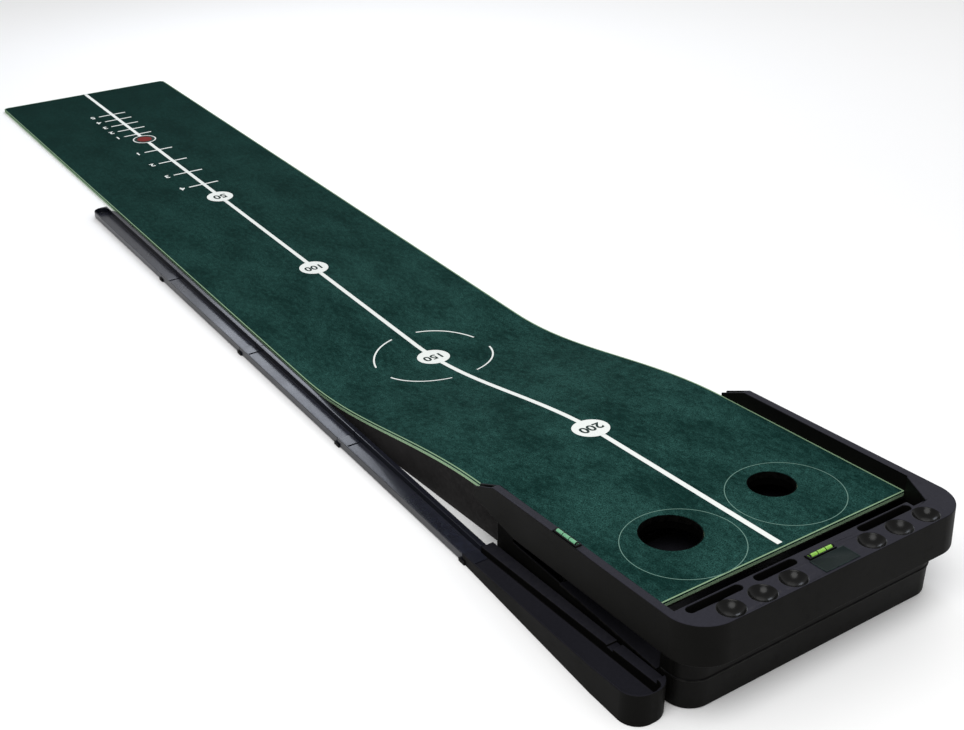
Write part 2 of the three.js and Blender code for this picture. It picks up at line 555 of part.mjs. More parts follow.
function rampWedge() {
  const under = (y, drop) => deckZ(y) - GAP - drop;
  const underDeck = (y) => deckPlaneZ(y) + DECK_LOW - RAMP_DECK_GAP;
  const joinY = DECK_END_Y + OVER;
  const outerTop = rampSteps(RAMP_TIP_Y, joinY, 18).map((y) => [y, Math.max(under(y, 0), OVER)]);
  const outer = across([...outerTop, [joinY, underDeck(joinY)], [RAMP_NEAR_Y, underDeck(RAMP_NEAR_Y)],
    [RAMP_NEAR_Y, 0], [RAMP_TIP_Y, 0]], -RAMP_HALF_FAR, RAMP_HALF_FAR)
    .intersect(prism(rampPlan(0), -OVER, SKY));
  const hollowY = RAMP_TIP_Y - RAMP_HOLLOW;
  const hollowTop = rampSteps(hollowY, joinY + RAMP_WALL, 14).map((y) => [y, under(y, RAMP_WALL)]);
  const hollowNear = RAMP_NEAR_Y + RAMP_WALL;
  const hollow = across([...hollowTop, [joinY, underDeck(joinY) - RAMP_WALL],
    [hollowNear, underDeck(hollowNear) - RAMP_WALL], [hollowNear, -OVER], [hollowY, -OVER]],
  -RAMP_HALF_FAR, RAMP_HALF_FAR).intersect(prism(rampPlan(RAMP_WALL), -2 * OVER, SKY));
  let wedge = outer.subtract(hollow);
  for (const x of [-RAMP_RIB_X, RAMP_RIB_X]) {
    const half = RAMP_RIB_T / 2;
    wedge = wedge.add(outer.intersect(box(x - half, x + half, RAMP_NEAR_Y, RAMP_TIP_Y, -OVER, SKY)));
  }
  return wedge;
}
const rampGroup = new THREE.Group();
addMesh(rampGroup, 'ramp_shell', rampWedge(), RAMP_BROWN);

// ---- ball track ----
// Section of the track in X and Z: outer wall, channel, inner wall and the flange beside the turf.
const TRACK_IN = TRACK_OUT + TRACK_W;
const CHANNEL_LEFT = TRACK_OUT + TRACK_WALL;
const CHANNEL_RIGHT = CHANNEL_LEFT + CHANNEL_W;
const TRACK_TOP = TRACK_LIFT + TRACK_H;
const TRACK_FLOOR_Z = TRACK_LIFT + TRACK_FLOOR;
const TRACK_SECTION = [
  [TRACK_OUT, TRACK_LIFT], [TRACK_IN, TRACK_LIFT], [TRACK_IN, TRACK_FLOOR_Z],
  [CHANNEL_RIGHT + TRACK_WALL + TRACK_WALL_DRAFT, TRACK_FLOOR_Z], [CHANNEL_RIGHT + TRACK_WALL, TRACK_TOP],
  [CHANNEL_RIGHT, TRACK_TOP], [CHANNEL_RIGHT, TRACK_FLOOR_Z], [CHANNEL_LEFT, TRACK_FLOOR_Z],
  [CHANNEL_LEFT, TRACK_TOP], [TRACK_OUT, TRACK_TOP],
];

// The plug reaches back into the piece before it, just above that piece's channel floor.
function tongue(y) {
  const z0 = TRACK_FLOOR_Z + GAP;
  const z1 = z0 + TONGUE_T;
  const root = box(CHANNEL_LEFT, CHANNEL_RIGHT, y, y + TONGUE_ROOT, TRACK_FLOOR_Z - OVER, z1);
  const blade = box(CHANNEL_LEFT + GAP, CHANNEL_RIGHT - GAP, y - TONGUE_L, y + TONGUE_ROOT, z0, z1);
  return root.add(blade);
}

// The last section's far end is closed and rounded, and stands on a small foot.
function closedEnd(section, near, far) {
  const wallRight = CHANNEL_RIGHT + TRACK_WALL;
  const outline = roundedOutline(TRACK_OUT, TRACK_IN, near, far, 0, TRACK_END_R);
  const inner = roundedOutline(CHANNEL_LEFT, CHANNEL_RIGHT, near, far - TRACK_WALL, 0,
    TRACK_END_R - TRACK_WALL - TRACK_WALL_DRAFT);
  const block = box(TRACK_OUT, wallRight, far - TRACK_END_R, far, TRACK_LIFT, TRACK_TOP);
  const footX = TRACK_OUT + TRACK_END_R;
  const footY = far - TRACK_END_FOOT;
  return section.add(block.subtract(prism(inner, TRACK_FLOOR_Z, SKY)))
    .intersect(prism(outline, 0, SKY))
    .add(box(footX, footX + COUPLER_L, footY, footY + COUPLER_L, 0, TRACK_LIFT + OVER));
}

function trackSection(length, last) {
  const body = along(TRACK_SECTION, TRACK_JOINT_GAP, length);
  return (last ? closedEnd(body, 0, length) : body).add(tongue(TRACK_JOINT_GAP));
}

// Foot under each joint, with a small clip up the outer wall.
function coupler() {
  const half = COUPLER_L / 2;
  const clipOut = TRACK_OUT - CLIP_GAP - CLIP_T;
  const clip = box(clipOut, TRACK_OUT - CLIP_GAP, -half, half, 0, TRACK_H / 2);
  return box(clipOut, TRACK_IN, -half, half, 0, COUPLER_T).add(clip);
}

const trackGroup = new THREE.Group();
for (let i = 0; i < TRACK_SECTIONS; i += 1) {
  const last = i === TRACK_SECTIONS - 1;
  const length = last ? TRACK_LAST_L : TRACK_SECTION_L;
  const joint = TRACK_NEAR + i * TRACK_SECTION_L;
  addMesh(trackGroup, `track_section_${i + 1}`, trackSection(length, last), TRACK_BLUE).position.y = joint;
  addMesh(trackGroup, `track_coupler_${i + 1}`, coupler(), DARK).position.y = joint;
}

// ---- collector ----
// Its walls and channel floor climb toward the near end, and its outer wall flares out.
function collector() {
  const far = TRACK_NEAR;
  const near = COLLECTOR_NEAR;
  const left = TRACK_OUT - COLLECTOR_FLARE;
  const right = BASE_LEFT - WALL - OVER - GAP;
  const r = Math.min(COLLECTOR_CORNER_R, (right - left) / 2 - OVER);
  const flareY = near + r + COLLECTOR_STRAIGHT;
  const outline = new THREE.Shape();
  outline.moveTo(TRACK_OUT, far);
  outline.lineTo(left, flareY);
  outline.absarc(left + r, near + r, r, Math.PI, Math.PI * 1.5);
  outline.absarc(right - r, near + r, r, Math.PI * 1.5, Math.PI * 2);
  outline.lineTo(right, far);
  const pocketR = COLLECTOR_POCKET_R;
  const pocketX = CHANNEL_RIGHT + COLLECTOR_POCKET_W - pocketR;
  const channelOutline = new THREE.Shape();
  channelOutline.moveTo(CHANNEL_LEFT, far + OVER);
  channelOutline.lineTo(left + TRACK_WALL, flareY);
  channelOutline.absarc(left + r, near + r, r - TRACK_WALL, Math.PI, Math.PI * 1.5);
  channelOutline.absarc(pocketX, near + TRACK_WALL + pocketR, pocketR, Math.PI * 1.5, Math.PI * 2);
  channelOutline.lineTo(CHANNEL_RIGHT, far + OVER);
  // All between a line that climbs from the far end to the near end and a level edge.
  const climb = (farZ, rise, edgeZ, fromX) => across([[far + OVER, farZ],
    [near - OVER, TRACK_LIFT + rise], [near - OVER, edgeZ], [far + OVER, edgeZ]], fromX, right + OVER);
  const walls = climb(TRACK_TOP, COLLECTOR_H, -OVER, left - OVER);
  const aboveInner = climb(TRACK_TOP, COLLECTOR_INNER_H, SKY, CHANNEL_RIGHT)
    .intersect(box(CHANNEL_RIGHT, right + OVER, near + COLLECTOR_END_WALL, far + OVER, 0, SKY));
  const aboveFloor = climb(TRACK_FLOOR_Z, COLLECTOR_FLOOR, SKY, left - OVER);
  const notch = COLLECTOR_NOTCH;
  return prism(outline, 0, SKY, 12).intersect(walls)
    .subtract(aboveInner)
    .subtract(prism(channelOutline, 0, SKY, 12).intersect(aboveFloor))
    .subtract(box(CHANNEL_RIGHT - OVER, right + OVER, near + notch.from, near + notch.to, notch.z, SKY))
    .subtract(box(left - OVER, right + OVER, far - COUPLER_L / 2 - GAP, far + OVER, -OVER, COUPLER_T + GAP))
    .subtract(box(CHANNEL_LEFT, CHANNEL_RIGHT, far - TONGUE_L - OVER, far + OVER, TRACK_FLOOR_Z, SKY));
}
addMesh(trackGroup, 'collector', collector(), TRACK_BLUE);

// ---- assembly: origin at the middle of the footprint ----
const object = new THREE.Group();
const NEAR_EDGE = trayPoint(0, -SHELF_NEAR, -SKIRT_DROP).y;
const LEFT_EDGE = TRACK_OUT - COLLECTOR_FLARE;
const assembly = new THREE.Group();
assembly.position.set(-(LEFT_EDGE + TRAY_HALF) / 2, -(NEAR_EDGE + MAT_FAR) / 2, 0);
assembly.add(mat, trayGroup, baseGroup, rampGroup, trackGroup);
object.add(assembly);

export default object;
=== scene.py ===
"""Practice putting mat: printed turf on a ramp and a tilted tray, with its ball return.

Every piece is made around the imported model, in metres, with +Z up and the holes toward -Y.
"""
import json
import math

import bmesh
import bpy
import numpy as np
from mathutils import Matrix, Vector


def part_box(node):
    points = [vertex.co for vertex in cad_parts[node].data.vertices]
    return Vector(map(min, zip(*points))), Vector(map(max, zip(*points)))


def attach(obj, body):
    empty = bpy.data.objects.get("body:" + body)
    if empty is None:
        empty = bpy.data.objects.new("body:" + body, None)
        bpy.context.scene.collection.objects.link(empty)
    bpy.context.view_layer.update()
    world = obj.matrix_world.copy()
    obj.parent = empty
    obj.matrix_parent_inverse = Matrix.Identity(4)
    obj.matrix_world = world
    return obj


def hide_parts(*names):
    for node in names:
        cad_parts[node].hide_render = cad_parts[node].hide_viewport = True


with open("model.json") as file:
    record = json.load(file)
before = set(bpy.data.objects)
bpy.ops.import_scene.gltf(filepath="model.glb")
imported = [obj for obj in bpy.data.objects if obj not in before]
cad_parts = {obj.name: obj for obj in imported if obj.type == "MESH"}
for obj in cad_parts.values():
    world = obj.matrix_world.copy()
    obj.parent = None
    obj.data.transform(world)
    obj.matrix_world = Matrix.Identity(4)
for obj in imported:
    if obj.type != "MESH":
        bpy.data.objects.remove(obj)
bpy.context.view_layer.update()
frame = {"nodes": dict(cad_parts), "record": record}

bl_info = {
    "name": "Practice Putting Mat",
    "version": (1, 0, 0),
    "blender": (4, 5, 0),
    "location": "3D View > Sidebar > Putting Mat",
    "description": "Builds a putting mat with a raised tray, two holes and a ball return track",
    "category": "Object",
}

MM = 0.001
TEE_FROM_END = 0.476        # the tee dot, from the turf's far end
RAMP_FROM_TEE = 1.430       # where the turf starts to rise
DECK_LENGTH = 0.396
TURF_LOW, TURF_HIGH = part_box("mat_turf")
CENTRE_X = (TURF_LOW.x + TURF_HIGH.x) / 2
HALF_WIDTH = (TURF_HIGH.x - TURF_LOW.x) / 2
TRAY_Y = TURF_LOW.y
TEE_Y = TURF_HIGH.y - TEE_FROM_END
RAMP_Y = TEE_Y - RAMP_FROM_TEE
TRAY_TILT = 0.0719          # radians, the deck rises toward the holes' end
DECK_HEIGHT = 0.1275        # the deck's height at the turf's near end
DECK_END_Y = TRAY_Y + DECK_LENGTH * math.cos(TRAY_TILT)
TURF_RISE = 0.008           # the turf's top above what it lies on
TURF_THICKNESS = 0.0026
TURF_CORNER = 0.014
HOLES = ((-0.103, 0.123, 0.0475), (0.1055, 0.133, 0.0375))  # across, from the near end, radius
HOLE_RINGS = ((-0.107, 0.092), (0.103, 0.102))
RAIL_HEIGHT = 0.034
DIMPLE_V = -0.088
DIMPLE_X = (0.0743, 0.1293, 0.1843)
DIMPLE_RIM = 0.0195
DIMPLE_BALL = 0.023
LEVEL_TUBE = (0.0034, 0.0024)   # outer and inner radius
SIDE_LEVEL_LENGTH = 0.0494
BEAD_HEIGHT = 0.048
BASE_CORNER = 0.040
DISTANCES = (50, 100, 150, 200)


# ---- the running surface ----
def deck_height(y):
    """Height of the turf's underside: flat, then a smooth rise, then the tilted deck."""
    slope = math.tan(TRAY_TILT)
    plane = DECK_HEIGHT - slope * (y - TRAY_Y)
    run = RAMP_Y - DECK_END_Y
    s = np.clip((RAMP_Y - y) / run, 0, 1)
    end = DECK_HEIGHT - slope * (DECK_END_Y - TRAY_Y)
    rise = end * s * s * (3 - 2 * s) + slope * run * (s ** 3 - s ** 2)
    return np.where(y <= DECK_END_Y, plane, rise)


PATH_Y = np.linspace(TURF_HIGH.y, TRAY_Y, 1200)
PATH_Z = deck_height(PATH_Y) + TURF_RISE
STEPS = np.hypot(np.diff(PATH_Y), np.diff(PATH_Z))
PATH_S = np.concatenate([[0], np.cumsum(STEPS)]) - (TURF_HIGH.y - TEE_Y)
FAR_S, NEAR_S = float(PATH_S[0]), float(PATH_S[-1])
BEND_MARGIN = 0.01
RAMP_BEND = (RAMP_FROM_TEE - BEND_MARGIN, NEAR_S - DECK_LENGTH + BEND_MARGIN)  # where a mark has to bend


def on_turf(x, s, lift):
    """The point x across and s along the turf from the tee, toward the holes, lifted off it."""
    y = np.interp(s, PATH_S, PATH_Y)
    z = np.interp(s, PATH_S, PATH_Z)
    before = np.interp(s - MM, PATH_S, PATH_Z)
    after = np.interp(s + MM, PATH_S, PATH_Z)
    lean = math.asin(max(-1, min(1, (after - before) / (2 * MM))))
    return Vector((CENTRE_X + x, y + lift * math.sin(lean), z + lift * math.cos(lean)))


def in_tray():
    """Turns tray places (across, along the deck, off the deck) into the model's frame."""
    tilt = Matrix.Rotation(-TRAY_TILT, 4, "X")
    return Matrix.Translation((CENTRE_X, TRAY_Y, DECK_HEIGHT)) @ tilt


# ---- settings ----
def colour_property(name, description, default):
    return bpy.props.FloatVectorProperty(
        name=name, description=description, subtype="COLOR", size=3, min=0, max=1, default=default)


def length_property(name, description, default):
    return bpy.props.FloatProperty(
        name=name, description=description, unit="LENGTH", min=0, precision=4, default=default)


class MatTurfSettings(bpy.types.PropertyGroup):
    """Colours of the turf and its print, and the sizes of the marks."""

    pile: colour_property("Pile", "Colour of the turf's pile", (0.0048, 0.0290, 0.0248))
    pile_worn: colour_property("Pile, brushed", "Pile lying the other way", (0.0300, 0.1010, 0.0880))
    foam: colour_property("Foam", "Colour of the foam backing", (0.26, 0.40, 0.24))
    print_white: colour_property("Print", "Colour of the printed marks", (0.80, 0.83, 0.80))
    tee_red: colour_property("Tee dot", "Colour of the tee dot", (0.17, 0.012, 0.010))
    line_width: length_property("Line width", "Width of the centre line", 0.0095)
    disc_size: length_property("Disc size", "Across a distance disc", 0.064)
    circle_size: length_property("Circle size", "Across the target circle", 0.231)


class MatMouldingSettings(bpy.types.PropertyGroup):
    """Colours of the moulded pieces and how round their edges are."""

    tray: colour_property("Tray", "Colour of the raised tray", (0.0036, 0.0035, 0.0031))
    base: colour_property("Base", "Colour of the base", (0.0028, 0.0027, 0.0024))
    ramp: colour_property("Ramp", "Colour of the ramp wedge", (0.018, 0.017, 0.017))
    track: colour_property("Track", "Colour of the ball track", (0.0045, 0.0055, 0.0100))
    liquid: colour_property("Liquid", "Colour of the liquid in the front level", (0.30, 0.62, 0.08))
    liquid_side: colour_property(
        "Side liquid", "Colour of the liquid in the side level", (0.20, 0.52, 0.30))
    edge_radius: length_property("Edge radius", "Rounding of the tray's edges", 0.0012)


class MatStageSettings(bpy.types.PropertyGroup):
    """The floor, the lights and the camera."""

    floor: colour_property("Floor", "Colour of the floor", (0.95, 0.95, 0.95))
    key_power: bpy.props.FloatProperty(
        name="Key light", description="Power of the large soft light", unit="POWER", default=34)
    sky: bpy.props.FloatProperty(
        name="Sky", description="Strength of the light from all round", default=0.72)
    lens: bpy.props.FloatProperty(
        name="Lens", description="Focal length of the camera", unit="CAMERA", default=50.51)


# ---- shader groups ----
def new_group(name, inputs, outputs):
    """An empty shader group with number inputs {name: default} and typed outputs {name: type}."""
    group = bpy.data.node_groups.new(name, "ShaderNodeTree")
    for socket, default in inputs.items():
        item = group.interface.new_socket(socket, in_out="INPUT", socket_type="NodeSocketFloat")
        item.default_value = default
    for socket, kind in outputs.items():
        group.interface.new_socket(socket, in_out="OUTPUT", socket_type=kind)
    return group, group.nodes.new("NodeGroupInput"), group.nodes.new("NodeGroupOutput")


def noise(tree, coordinate, scale, detail=3.0, roughness=0.55):
    """A noise texture on a coordinate; scale is a number or a socket."""
    node = tree.nodes.new("ShaderNodeTexNoise")
    node.inputs["Detail"].default_value = detail
    node.inputs["Roughness"].default_value = roughness
    tree.links.new(coordinate, node.inputs["Vector"])
    if isinstance(scale, (int, float)):
        node.inputs["Scale"].default_value = scale
    else:
        tree.links.new(scale, node.inputs["Scale"])
    return node.outputs["Fac"]


def remap(tree, value, low, high, to_low=0.0, to_high=1.0):
    """A value from one range carried to another."""
    node = tree.nodes.new("ShaderNodeMapRange")
    node.inputs["From Min"].default_value = low
    node.inputs["From Max"].default_value = high
    node.inputs["To Min"].default_value = to_low
    node.inputs["To Max"].default_value = to_high
    tree.links.new(value, node.inputs["Value"])
    return node.outputs["Result"]


def arithmetic(tree, operation, first, second):
    """One sum on two numbers or sockets."""
    node = tree.nodes.new("ShaderNodeMath")
    node.operation = operation
    for socket, value in zip(node.inputs, (first, second)):
        if isinstance(value, (int, float)):
            socket.default_value = value
        else:
            tree.links.new(value, socket)
    return node.outputs["Value"]


def object_place(tree, stretch=(1, 1, 1)):
    """Object coordinates, squeezed by stretch so that the pattern runs along an axis."""
    coordinate = tree.nodes.new("ShaderNodeTexCoord")
    mapping = tree.nodes.new("ShaderNodeMapping")
    mapping.inputs["Scale"].default_value = stretch
    tree.links.new(coordinate.outputs["Object"], mapping.inputs["Vector"])
    return mapping.outputs["Vector"]


def make_moulded_grain():
    """Spark-eroded grain of a moulded face, with slow patches in its polish."""
    floats = "NodeSocketFloat"
    group, given, result = new_group(
        "Moulded Grain", {"Grain": 1400.0, "Patch": 9.0}, {"Height": floats, "Patches": floats})
    place = object_place(group)
    grain = noise(group, place, given.outputs["Grain"], 4.0, 0.6)
    patches = remap(group, noise(group, place, given.outputs["Patch"], 4.0), 0.32, 0.68)
    group.links.new(grain, result.inputs["Height"])
    group.links.new(patches, result.inputs["Patches"])
    return group


def make_handling_marks():
    """Fine scuffs that run along the piece, and rubbed edges, whose lightening is wear and a painted
    edge highlight.
    """
    floats = "NodeSocketFloat"
    group, given, result = new_group(
        "Handling Marks", {"Scuffs": 60.0, "Rub": 0.53}, {"Scuffs": floats, "Rubbed And Highlight": floats})
    place = object_place(group, (1.0, 0.12, 1.0))
    streaks = noise(group, place, given.outputs["Scuffs"], 6.0, 0.7)
    shape = group.nodes.new("ShaderNodeNewGeometry")
    above = arithmetic(group, "SUBTRACT", shape.outputs["Pointiness"], given.outputs["Rub"])
    edge = remap(group, above, 0.0, 0.05)
    broken = remap(group, noise(group, object_place(group), 120.0), 0.4, 0.62)
    group.links.new(remap(group, streaks, 0.55, 0.75), result.inputs["Scuffs"])
    group.links.new(arithmetic(group, "MULTIPLY", edge, broken), result.inputs["Rubbed And Highlight"])
    return group


def make_settled_dust():
    """Dust on the faces that look up, thin and uneven, and a painted bluish sheen: the same film
    lightens every upward face.
    """
    group, given, result = new_group(
        "Settled Dust", {"Amount": 0.3, "Size": 260.0}, {"Dust And Sheen": "NodeSocketFloat"})
    shape = group.nodes.new("ShaderNodeNewGeometry")
    split = group.nodes.new("ShaderNodeSeparateXYZ")
    group.links.new(shape.outputs["Normal"], split.inputs["Vector"])
    up = remap(group, split.outputs["Z"], 0.5, 0.98)
    cloud = noise(group, object_place(group), given.outputs["Size"], 5.0, 0.7)
    film = remap(group, cloud, 0.25, 0.75, 0.65, 1.0)
    mask = arithmetic(group, "MULTIPLY", up, film)
    group.links.new(arithmetic(group, "MULTIPLY", mask, given.outputs["Amount"]), result.inputs["Dust And Sheen"])
    return group


def make_pile():
    """Short dense pile: single tufts, and broad patches where it lies another way."""
    floats = "NodeSocketFloat"
    group, given, result = new_group(
        "Velvet Pile", {"Tuft": 520.0, "Brushing": 13.0},
        {"Height": floats, "Lie": floats, "Tufts": floats})
    tufts = noise(group, object_place(group), given.outputs["Tuft"], 3.0, 0.7)
    wide = noise(group, object_place(group, (1.0, 0.55, 1.0)), given.outputs["Brushing"], 5.0, 0.62)
    fine = noise(group, object_place(group, (1.0, 0.5, 1.0)), 120.0, 4.0, 0.7)
    lie = arithmetic(
        group, "ADD", arithmetic(group, "MULTIPLY", wide, 0.5), arithmetic(group, "MULTIPLY", fine, 0.5))
    group.links.new(tufts, result.inputs["Height"])
    group.links.new(remap(group, lie, 0.40, 0.60), result.inputs["Lie"])
    group.links.new(remap(group, tufts, 0.35, 0.68), result.inputs["Tufts"])
    return group


SHADER_GROUPS = {
    "Moulded Grain": make_moulded_grain,
    "Handling Marks": make_handling_marks,
    "Settled Dust": make_settled_dust,
    "Velvet Pile": make_pile,
}


def place_group(tree, name, **values):
    """Puts a shader group in a material, making it the first time, and sets its inputs."""
    group = bpy.data.node_groups.get(name) or SHADER_GROUPS[name]()
    node = tree.nodes.new("ShaderNodeGroup")
    node.node_tree = group
    for socket, value in values.items():
        node.inputs[socket].default_value = value
    return node


def mix_colours(tree, factor, first, second):
    """Colour between two, each a colour or a socket."""
    node = tree.nodes.new("ShaderNodeMix")
    node.data_type = "RGBA"
    tree.links.new(factor, node.inputs["Factor"])
    for socket, colour in ((node.inputs[6], first), (node.inputs[7], second)):
        if isinstance(colour, bpy.types.NodeSocket):
            tree.links.new(colour, socket)
        else:
            socket.default_value = (*colour, 1)
    return node.outputs[2]


def bump(tree, shader, height, strength, distance):
    node = tree.nodes.new("ShaderNodeBump")
    node.inputs["Strength"].default_value = strength
    node.inputs["Distance"].default_value = distance
    tree.links.new(height, node.inputs["Height"])
    tree.links.new(node.outputs["Normal"], shader.inputs["Normal"])


def bare_material(name):
    """A new material, its node tree and its shader."""
    material = bpy.data.materials.new(name)
    material.use_nodes = True
    tree = material.node_tree
    return material, tree, tree.nodes["Principled BSDF"]


def scaled(colour, factor):
    """A lighter or darker colour."""
    return tuple(min(1.0, c * factor) for c in colour)


# ---- materials ----
# Bluish grey of the dust on upward faces, which also paints a sheen on them.
DUST_AND_SHEEN_COLOUR = (0.088, 0.088, 0.125)


def moulded_plastic(
        name, colour, roughness=0.45, grain=1400.0, depth=0.00006, dust=0.24, coat=0.0, shine=0.035):
    """Moulded plastic with grain, patchy polish, scuffs, rubbed edges lightened as wear and painted
    highlight, and a little dust that also paints a bluish sheen on upward faces.
    """
    material, tree, shader = bare_material(name)
    surface = place_group(tree, "Moulded Grain", Grain=grain)
    marks = place_group(tree, "Handling Marks")
    dusty = place_group(tree, "Settled Dust", Amount=dust)
    polished = mix_colours(tree, surface.outputs["Patches"], scaled(colour, 0.85), scaled(colour, 1.2))
    # Edges lightened to four times the colour: rubbed wear and a painted highlight.
    rubbed_and_highlight = mix_colours(tree, marks.outputs["Rubbed And Highlight"], polished, scaled(colour, 4.0))
    # Dust on upward faces, and with it a painted bluish sheen.
    dusted_and_sheened = mix_colours(tree, dusty.outputs["Dust And Sheen"], rubbed_and_highlight, DUST_AND_SHEEN_COLOUR)
    tree.links.new(dusted_and_sheened, shader.inputs["Base Color"])
    gloss = remap(tree, surface.outputs["Patches"], 0, 1, roughness - 0.06, roughness + 0.07)
    scuffed = arithmetic(tree, "MULTIPLY", marks.outputs["Scuffs"], 0.12)
    tree.links.new(arithmetic(tree, "ADD", gloss, scuffed), shader.inputs["Roughness"])
    shader.inputs["Specular IOR Level"].default_value = shine
    shader.inputs["Coat Weight"].default_value = coat
    shader.inputs["Coat Roughness"].default_value = 0.12
    bump(tree, shader, surface.outputs["Height"], 0.35, depth)
    return material


def turf_material(settings):
    material, tree, shader = bare_material("Turf Pile")
    pile = place_group(tree, "Velvet Pile")
    brushed = mix_colours(tree, pile.outputs["Lie"], settings.pile, settings.pile_worn)
    # Painted shade between the tufts: where they sink, the pile goes down to 0.45 of its colour.
    tuft_shaded = mix_colours(tree, pile.outputs["Tufts"], scaled(settings.pile, 0.45), brushed)
    # Painted shade: the pile darkens toward the far end, standing in for the light falling off away from
    # the tray.
    split = tree.nodes.new("ShaderNodeSeparateXYZ")
    tree.links.new(object_place(tree), split.inputs["Vector"])
    far_end_shade = remap(tree, split.outputs["Y"], TEE_Y - 1.4, TURF_HIGH.y, 0.0, 0.75)
    darkened = mix_colours(tree, far_end_shade, tuft_shaded, scaled(settings.pile, 0.5))
    tree.links.new(darkened, shader.inputs["Base Color"])
    tree.links.new(remap(tree, pile.outputs["Lie"], 0, 1, 0.86, 0.98), shader.inputs["Roughness"])
    shader.inputs["Specular IOR Level"].default_value = 0.02
    shader.inputs["Sheen Weight"].default_value = 0.01
    shader.inputs["Sheen Roughness"].default_value = 0.45
    shader.inputs["Sheen Tint"].default_value = (0.45, 0.8, 0.66, 1)
    bump(tree, shader, pile.outputs["Height"], 0.7, 0.0006)
    return material


def print_material(name, colour, darkened=0.82):
    """Printing ink on the pile, thin where the tufts sink."""
    material, tree, shader = bare_material(name)
    pile = place_group(tree, "Velvet Pile")
    inked = mix_colours(tree, pile.outputs["Tufts"], scaled(colour, darkened), colour)
    worn = mix_colours(tree, pile.outputs["Lie"], inked, scaled(colour, 0.94))
    tree.links.new(worn, shader.inputs["Base Color"])
    tree.links.new(remap(tree, pile.outputs["Tufts"], 0, 1, 0.95, 0.8), shader.inputs["Roughness"])
    shader.inputs["Specular IOR Level"].default_value = 0.2
    bump(tree, shader, pile.outputs["Height"], 0.5, 0.0004)
    return material


def foam_material(settings):
    """Closed-cell foam: small pits, painted darker as shade, and slow changes in colour."""
    material, tree, shader = bare_material("Backing Foam")
    place = object_place(tree)
    cells = tree.nodes.new("ShaderNodeTexVoronoi")
    cells.inputs["Scale"].default_value = 700
    tree.links.new(place, cells.inputs["Vector"])
    pits = remap(tree, cells.outputs["Distance"], 0.0, 0.6)
    slow = remap(tree, noise(tree, place, 25.0), 0.3, 0.7)
    shade = mix_colours(tree, slow, scaled(settings.foam, 0.85), scaled(settings.foam, 1.1))
    pit_shaded = mix_colours(tree, pits, scaled(settings.foam, 0.6), shade)
    tree.links.new(pit_shaded, shader.inputs["Base Color"])
    tree.links.new(remap(tree, slow, 0, 1, 0.85, 0.95), shader.inputs["Roughness"])
    bump(tree, shader, pits, 0.5, 0.0003)
    return material


def rubber_material():
    material, tree, shader = bare_material("Pad Rubber")
    surface = place_group(tree, "Moulded Grain", Grain=900.0, Patch=60.0)
    shade = mix_colours(tree, surface.outputs["Patches"], (0.010, 0.010, 0.010), (0.020, 0.020, 0.021))
    tree.links.new(shade, shader.inputs["Base Color"])
    tree.links.new(remap(tree, surface.outputs["Patches"], 0, 1, 0.8, 0.95), shader.inputs["Roughness"])
    bump(tree, shader, surface.outputs["Height"], 0.6, 0.0002)
    return material


def steel_material():
    """Zinc-plated steel with turning marks and dull patches."""
    material, tree, shader = bare_material("Zinc Steel")
    turned = noise(tree, object_place(tree, (1, 1, 6)), 900.0)
    dull = remap(tree, noise(tree, object_place(tree), 180.0), 0.35, 0.65)
    shade = mix_colours(tree, dull, (0.42, 0.43, 0.44), (0.60, 0.61, 0.62))
    tree.links.new(shade, shader.inputs["Base Color"])
    tree.links.new(remap(tree, turned, 0.3, 0.7, 0.25, 0.45), shader.inputs["Roughness"])
    shader.inputs["Metallic"].default_value = 1.0
    bump(tree, shader, turned, 0.3, 0.00005)
    return material


def liquid_tube_material(name, colour):
    """Clear tube of dyed liquid, its colour varied by a swirl, with a faint painted glow."""
    material, tree, shader = bare_material(name)
    swirl = remap(tree, noise(tree, object_place(tree), 220.0), 0.35, 0.65)
    shade = mix_colours(tree, swirl, scaled(colour, 0.8), colour)
    tree.links.new(shade, shader.inputs["Base Color"])
    tree.links.new(remap(tree, swirl, 0, 1, 0.04, 0.10), shader.inputs["Roughness"])
    # Painted glow: the liquid gives off a little light of its own colour.
    tree.links.new(shade, shader.inputs["Emission Color"])
    shader.inputs["Emission Strength"].default_value = 0.08
    shader.inputs["Transmission Weight"].default_value = 0.35
    shader.inputs["IOR"].default_value = 1.45
    return material


def bubble_material():
    material, tree, shader = bare_material("Level Bubble")
    swirl = remap(tree, noise(tree, object_place(tree), 400.0), 0.3, 0.7)
    shade = mix_colours(tree, swirl, (0.78, 0.95, 0.55), (0.92, 1.0, 0.75))
    tree.links.new(shade, shader.inputs["Base Color"])
    tree.links.new(remap(tree, swirl, 0, 1, 0.03, 0.08), shader.inputs["Roughness"])
    return material


def named_material(name, make, *values, **options):
    """The material of that name, made the first time that it is asked for."""
    return bpy.data.materials.get(name) or make(*values, **options)


def plastic_finish(name, colour, roughness, **finish):
    """The moulded plastic of that name."""
    return named_material(name, moulded_plastic, name, colour, roughness, **finish)


def turf_ink(settings, which):
    inks = {
        "Print White": settings.print_white,
        "Print Ring": (0.13, 0.24, 0.20),
        "Print Dark": (0.012, 0.030, 0.026),
        "Tee Red": settings.tee_red,
        "Edge Binding": scaled(settings.foam, 0.85),
    }
    return named_material(which, print_material, which, inks[which])


# ---- making pieces ----
def body_of_node(node):
    bodies = frame["record"]["behaviour"]["bodies"]
    return next(body for body, nodes in bodies.items() if node in nodes)


def add_piece(name, mesh, material, node, replaces=False):
    """A piece that rides with a node's body, has its finish, and may stand for it."""
    piece = bpy.data.objects.new(name, mesh)
    bpy.context.scene.collection.objects.link(piece)
    mesh.materials.clear()
    mesh.materials.append(material)
    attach(piece, body_of_node(node))
    if replaces:
        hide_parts(node)
    return piece


